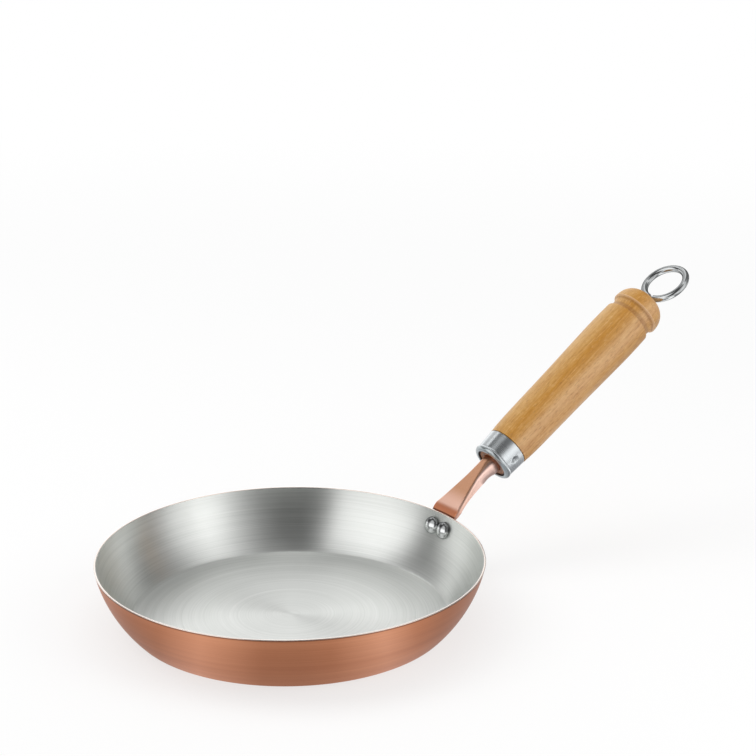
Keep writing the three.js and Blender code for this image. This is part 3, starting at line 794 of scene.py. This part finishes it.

# %% [markdown]
# ## Polished steel
#
# Rivets and eye are bright steel. A perfect mirror looks like glass, so there are faint smears that dull
# it in patches, and hair scratches that run round or along the piece. The upper half of each rivet's head
# is painted dark grey, a painted dark reflection. The eye is made of drawn wire, which shows more
# contrast than the hammered rivets, so it has a finish of its own.

# %% Polished rivets
polish, shader, place = new_finish("polished_steel", Metallic=1, Specular_Tint=(0.2, 0.2, 0.2, 1))
x, y, z = place.parts()
smear = vector(x * 260, y * 260, z * 260).noise(3, 0.6)
scratch = vector(x * 1800, y * 1800, z * 300).noise(2, 0.6)
colour = smear.tint(paint(206, 208, 208), paint(238, 240, 240))
# The upper half of each head is painted dark grey, a painted dark reflection.
painted_dark_cap = (1 - x.step_mm(-1.8, -0.6)) * (1 - z.step_mm(-1, 0))
colour = (painted_dark_cap * 0.7).tint(colour, paint(96, 98, 98))
rough = 0.07 + smear * 0.1 + scratch * 0.05
lead(shader, Base_Color=colour, Roughness=rough, Normal=scratch.bump(0.04, 0.1))
for rivet in rivets:
    wear(rivet, polish)

# %% Drawn wire
wire, shader, place = new_finish("drawn_wire", Metallic=1, Specular_Tint=(0, 0, 0, 1))
x, y, z = place.parts()
smear = vector(x * 220, y * 220, z * 220).noise(3, 0.6)
drawn = vector(x * 1500, y * 1500, z * 1500).noise(2, 0.6)
colour = (smear * 0.6 + drawn * 0.4).tint(paint(140, 143, 144), paint(228, 230, 230))
lead(shader, Base_Color=colour, Roughness=0.05 + smear * 0.08, Normal=drawn.bump(0.04, 0.1))
wear(eye, wire, "hanging_eye")

# %% [markdown]
# ## Satin ferrule and zinc nut
#
# The ferrule is turned against a pad like the pan, but finer, and it is a cooler grey than the lining.
# The rolled lip is painted darker, a painted dark reflection, and the dents are painted darker as painted
# shade. The nut in the tang can't be seen from outside. It keeps its plain solid and gets the dull,
# spangled grey of zinc plating.

# %% Satin steel
satin, shader, place = new_finish("satin_steel", Metallic=1, Anisotropic=0.6, Anisotropic_Rotation=0.25)
x, y, z = place.parts()
line = vector(x * 15, y * 15, z * 2600).noise(2, 0.5)
cloud = vector(x * 60, y * 60, z * 90).noise(2, 0.5)
colour = (line * 0.5 + cloud * 0.5).tint(paint(190, 195, 198), paint(226, 230, 232))
# The rolled lip is painted darker, a painted dark reflection.
painted_dark_lip = 1 - z.step_mm(FERRULE_START + 0.9, FERRULE_START + 2.4)
colour = (painted_dark_lip * 0.7).tint(colour, paint(160, 168, 170))
dent_up = z - dent_height * MM
# The dents are painted darker, as painted shade in the hollows.
painted_dent_shade = 1 - ((x * x + dent_up * dent_up * 0.6) ** 0.5).step_mm(0.8, 2.2)
colour = (painted_dent_shade * 0.5).tint(colour, paint(104, 108, 110))
rough = 0.2 + line * 0.1 + cloud * 0.06
lead(shader, Base_Color=colour, Roughness=rough, Normal=line.bump(0.03, 0.1))
wear(ferrule, satin)

# %% Zinc plating
zinc, shader, place = new_finish("zinc_plating", Metallic=1)
x, y, z = place.parts()
spangle = vector(x * 700, y * 700, z * 700).noise(2, 0.5)
colour = spangle.tint(paint(150, 153, 156), paint(188, 190, 190))
lead(shader, Base_Color=colour, Roughness=0.4 + spangle * 0.2, Normal=spangle.bump(0.1, 0.1))
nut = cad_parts["tang_nut"]
nut.data.materials.clear()
nut.data.materials.append(zinc)
print(nut.name, "wears", zinc.name)

# %% [markdown]
# ## Beech
#
# Beech is pale, pinkish and close-grained, with short dark flecks along the fibres. The blank was sawn
# with its growth layers lying as flat sheets, and turning cuts those sheets into long bands, golden and
# pink by turns. So the colour follows a direction across the grip, bent a little by slow noise along the
# fibre. On the knob the same sheets come out as curved lines, with no extra work. A fine mottle breaks up
# the bands. Painted shade darkens the groove and the underside of the knob's edge, and the knob's edge is
# painted pale, partly rubbed wear and partly a painted highlight. The end inside the ferrule is painted
# dark as painted shade, with a painted shadow at its edge, and it has rings from the tool.

# %% Growth layers
BANDS = ((0, 185, 142, 94), (0.13, 200, 148, 80), (0.27, 214, 166, 114), (0.38, 218, 172, 118),
         (0.5, 202, 148, 76), (0.64, 192, 133, 40), (0.78, 198, 147, 72), (0.94, 212, 168, 108))
beech, shader, place = new_finish("turned_beech", Coat_Weight=0.12, Coat_Roughness=0.35)
x, y, z = place.parts()
sway = vector(x * 90, y * 90, z * 14).noise(2, 0.5)
layer = (y * 0.66 - x * 0.76) / (2 * SWELL * MM) + 0.5 + (sway - 0.5) * 0.2
bands = layer.ramp([(share, paint(*levels)) for share, *levels in BANDS])
fibre = vector(x * 900, y * 900, z * 60).noise(4, 0.7)
mottle = vector(x * 700, y * 700, z * 280).noise(3, 0.7)
growth = vector(layer * 14, 0, z * 9).noise(2, 0.5)
fleck = vector(x * 1900, y * 1900, z * 260).noise(1, 0.4).step(0.6, 0.72)
shade = fibre.step(0.45, 0.75) * 0.4 + growth.step(0.5, 0.8) * 0.2 + mottle.step(0.5, 0.72) * 0.3
wood = shade.tint(bands, paint(164, 104, 36))
light = (1 - fibre.step(0.28, 0.5)) * 0.22 + (1 - mottle.step(0.28, 0.48)) * 0.22
wood = light.tint(wood, paint(240, 204, 146))
wood = (fleck * 0.3).tint(wood, paint(130, 80, 36))
print("wood has", len(BANDS), "bands")

# %% Beech
# Painted shade darkens the groove behind the body's end.
painted_groove_shade = z.window_mm(body_end - 0.9, body_end - 0.1, groove_height, groove_height + 1.4)
colour = (painted_groove_shade * 0.4).tint(wood, paint(120, 72, 32))
# Painted shade under the knob's edge.
painted_shade_under_knob = z.window_mm(knob_height - 2.2, knob_height - 0.9, knob_height - 0.8, knob_height - 0.2)
colour = (painted_shade_under_knob * 0.4).tint(colour, paint(130, 76, 28))
# The knob's edge is painted pale: partly rubbed wear, partly a painted highlight.
arris_wear_and_painted_highlight = z.window_mm(knob_height - 0.7, knob_height, knob_height, knob_height + 0.9)
colour = (arris_wear_and_painted_highlight * 0.45).tint(colour, paint(244, 208, 168))
# The end of the wood inside the ferrule is painted dark, as painted shade; the same mask limits the tool
# rings to that end.
mouth_end_and_painted_shade = 1 - z.step_mm(GRIP_FRONT + 1, GRIP_FRONT + 2)
colour = (mouth_end_and_painted_shade * 0.65).tint(colour, paint(160, 92, 54))
from_axis = (x * x + y * y) ** 0.5
tool_lines = vector(from_axis * 1300, 0, 0).noise(2, 0.5).step(0.44, 0.56)
colour = (mouth_end_and_painted_shade * tool_lines * 0.6).tint(colour, paint(78, 36, 20))
# A painted shadow darkens the outer edge of the wood's end inside the ferrule.
painted_shadow_at_mouth_edge = mouth_end_and_painted_shade * from_axis.step_mm(7.8, 9.2)
colour = (painted_shadow_at_mouth_edge * 0.85).tint(colour, paint(38, 20, 12))
grain = fibre * 0.7 - fleck * 0.5
lead(shader, Base_Color=colour, Roughness=0.42 + fibre * 0.16, Normal=grain.bump(0.22, 0.2))
wear(grip, beech)

# %% [markdown]
# ## Floor
#
# A pale floor runs out past every edge of the picture. Most of its brightness is its own, so to the
# camera it reads as white paper, while the rest still takes the pan's shadow. Polished metal mirrors a
# floor, and a photographer shapes that with cards: a ring of grey paper round the pan, with a light card
# on the left and one on the right, puts two soft highlights on the copper, and a dark card with a white
# strip on the right serves the folded bracket and the ferrule. Real cards would show. These are colours
# that only reflections see, so the floor stays plain. Floor and room are both laid out by direction, so
# the helpers for that come first.

# %% Directions and rays
right_hand = Vector((HEADING.y, -HEADING.x))


def bare_nodes(owner):
    """The emptied nodes of a material or a world, ready for sums."""
    owner.use_nodes = True
    owner.node_tree.nodes.clear()
    return Flow(owner.node_tree)


def compass(x, y):
    """The direction of a place in radians, 0 on the picture's near side and growing to the right."""
    nearer = x * -HEADING.x + y * -HEADING.y
    aside = x * right_hand.x + y * right_hand.y
    return nearer.math("ARCTAN2", aside, nearer)


def rays(start):
    """A mask of the rays that mirror the surroundings, and one of those that look straight at them."""
    glossy = start.node("LightPath", output="Is Glossy Ray")
    direct = start.node("LightPath", output="Is Camera Ray")
    return glossy, direct + start.node("LightPath", output="Is Transmission Ray")


print("right hand of the picture:", [round(c, 3) for c in right_hand])

# %% Floor
FLOOR_HALF, FLOOR_LEVEL = 9, -0.0003
ways = ((-1, -1), (1, -1), (1, 1), (-1, 1))
corners = [(right * FLOOR_HALF, back * FLOOR_HALF, FLOOR_LEVEL) for right, back in ways]
floor_mesh = bpy.data.meshes.new("floor")
floor_mesh.from_pydata(corners, [], [(0, 1, 2, 3)])
floor = bpy.data.objects.new("floor", floor_mesh)
scene.collection.objects.link(floor)
print("floor is", 2 * FLOOR_HALF, "m wide")

# %% Cards on the floor
paper = bpy.data.materials.new("white_paper")
start = bare_nodes(paper)
x, y, z = start.node("TexCoord", output="Object").parts()
reach = (x * x + y * y) ** 0.5
round_pan = compass(x, y) * (0.5 / math.pi) + 0.5


def ring_of_cards(left, right):
    """A ring of grey paper round the pan, with one light card on the left and one on the right."""
    greys = ((-110, 0.62), (-66, 0.55), (-50, 0.6), (-31, left), (-8, 0.64), (6, 0.62), (17, 0.68),
             (37, right), (52, 0.72), (64, 0.6), (110, 0.6))
    stops = []
    for turn, grey in greys:
        blue = 0.04 + 0.2 * max(grey - 0.7, 0)
        stops.append((0.5 + turn / 360, (grey * (1 - blue), grey, grey * (1 + blue), 1)))
    return round_pan.ramp(stops)


ring = reach.step(0.092, 0.11).tint(ring_of_cards(1.04, 1.0), ring_of_cards(1.32, 1.5))
open_floor = reach.step(0.13, 0.17)
right_side = round_pan.window(0.68, 0.71, 0.86, 0.9) * open_floor
dark_card = right_side * (1 - reach.step(0.42, 0.5))
white_card = right_side * reach.window(0.222, 0.258, 0.31, 0.35)
print("cards take", len(paper.node_tree.nodes), "nodes")

# %% White paper
glossy, direct = rays(start)
cards = (glossy * (1 - open_floor)).tint((1, 1, 1, 1), ring)
cards = (glossy * dark_card).tint(cards, (0.38, 0.38, 0.39, 1))
cards = (glossy * white_card).tint(cards, (1.6, 1.6, 1.6, 1))
matt = start.node("BsdfDiffuse", None, {"Color": paint(250, 250, 250)})
glow = start.node("Emission", None, {"Color": cards})
own = direct * (0.7 + reach.step(0.3, 1.3) * 0.3) + glossy
start.node("MixShader", None, {0: own, 1: matt, 2: glow}).ends_in("Material")
floor_mesh.materials.append(paper)
print(floor.name, "wears", paper.name)

# %% [markdown]
# ## Light
#
# Metal shows its surroundings, so the room matters more than the lamps. Bright and dark screens stand all
# round. Each is written as a direction, in degrees from the point behind the camera, with one grey near
# the horizon and another higher up. A card lights the top of the strap, a faint one on the right shows in
# the lining, both sides are shaded above, and a panel hangs overhead. Only reflections see all that.
# Everything else gets an even grey-white light, three large soft lamps, and a small lamp that the ferrule
# mirrors.

# %% Screens
SCREENS = ((-180, 1.6, 1.4), (-150, 1.3, 0.8), (-134, 1.55, 0.6), (-124, 1.55, 0.2), (-110, 1.4, 0.1),
           (-101, 0.2, 0.1), (-91, 0.4, 0.4), (-80, 1.5, 1.45), (-31, 1.45, 1.25), (-21, 0.24, 0.2),
           (-9, 0.08, 0.08), (10, 0.07, 0.09), (24, 0.3, 0.28), (37, 1.05, 0.65), (62, 1.5, 1.2),
           (80, 1.35, 1.0), (92, 0.6, 0.5), (106, 0.25, 0.2), (117, 0.4, 0.12), (130, 1.0, 0.08),
           (140, 0.55, 0.2), (156, 0.4, 0.25), (180, 1.6, 1.4))
room = bpy.data.worlds.new("studio")
scene.world = room
start = bare_nodes(room)
x, y, z = start.node("TexCoord", output="Generated").parts()
turn = compass(x, y) * (180 / math.pi)
rise = z.math("ARCSINE", z) * (180 / math.pi)
place = turn * (1 / 360) + 0.5


def screens(row):
    """The greys of one row of screens, by direction."""
    stops = []
    for screen in SCREENS:
        grey = screen[row]
        stops.append((0.5 + screen[0] / 360, (grey, grey, grey, 1)))
    return place.ramp(stops)


low, high = screens(1), screens(2)
print("room has", len(SCREENS), "screens in each row")

# %% Room
lift = rise.step(4, 22)
dark_above = rise.step(52, 64) * turn.window(-150, -120, -14, 6) * 0.8
dark_right = rise.step(40, 52) * turn.window(8, 28, 50, 76) * 0.55
strap_card = turn.window(-137, -131, -121, -115) * rise.window(34, 40, 50, 56) * 1.3
side_card = turn.window(95, 110, 140, 160) * rise.step(16, 32) * 0.12
overhead = rise.step(77, 83) * 0.6
pattern = (low * (1 - lift) + high * lift) * (1 - dark_above) * (1 - dark_right)
pattern = pattern + strap_card + side_card + overhead
glossy, direct = rays(start)
grey = glossy * pattern + direct + (1 - glossy - direct) * 0.55
start.node("Background", None, {"Color": grey}).ends_in("World")
print(room.name, "has", len(room.node_tree.nodes), "nodes")

# %% Lamps
LAMP_AIM = Vector((0.06, 0, 0.05))


def soft_lamp(name, side, back, up, size, watts, mirrored=False):
    """A square lamp placed by the camera's own left, right, near and far, aimed at the pan."""
    data = bpy.data.lights.new(name, "AREA")
    data.size, data.energy = size, watts
    lamp = bpy.data.objects.new(name, data)
    lamp.visible_glossy = mirrored
    lamp.visible_camera = False
    scene.collection.objects.link(lamp)
    lamp.location = LAMP_AIM + side * right_hand.to_3d() + back * HEADING + Vector((0, 0, up))
    lamp.rotation_euler = (LAMP_AIM - lamp.location).to_track_quat("-Z", "Y").to_euler()
    print(name, "gives", watts, "W")


soft_lamp("key_lamp", -0.8, 0.1, 1.0, 0.8, 5)
soft_lamp("fill_lamp", 0.9, -0.3, 0.7, 0.8, 2.5)
soft_lamp("top_lamp", 0, 0.3, 1.5, 1.2, 5)
soft_lamp("ferrule_lamp", 0.31, -0.25, 0.15, 0.18, 0.06, mirrored=True)
scene.view_settings.view_transform = "Standard"

# %% [markdown]
# ## Size and finish
#
# The finer pieces have to stay inside the box of the solids.

# %% Sizes
bpy.context.view_layer.update()
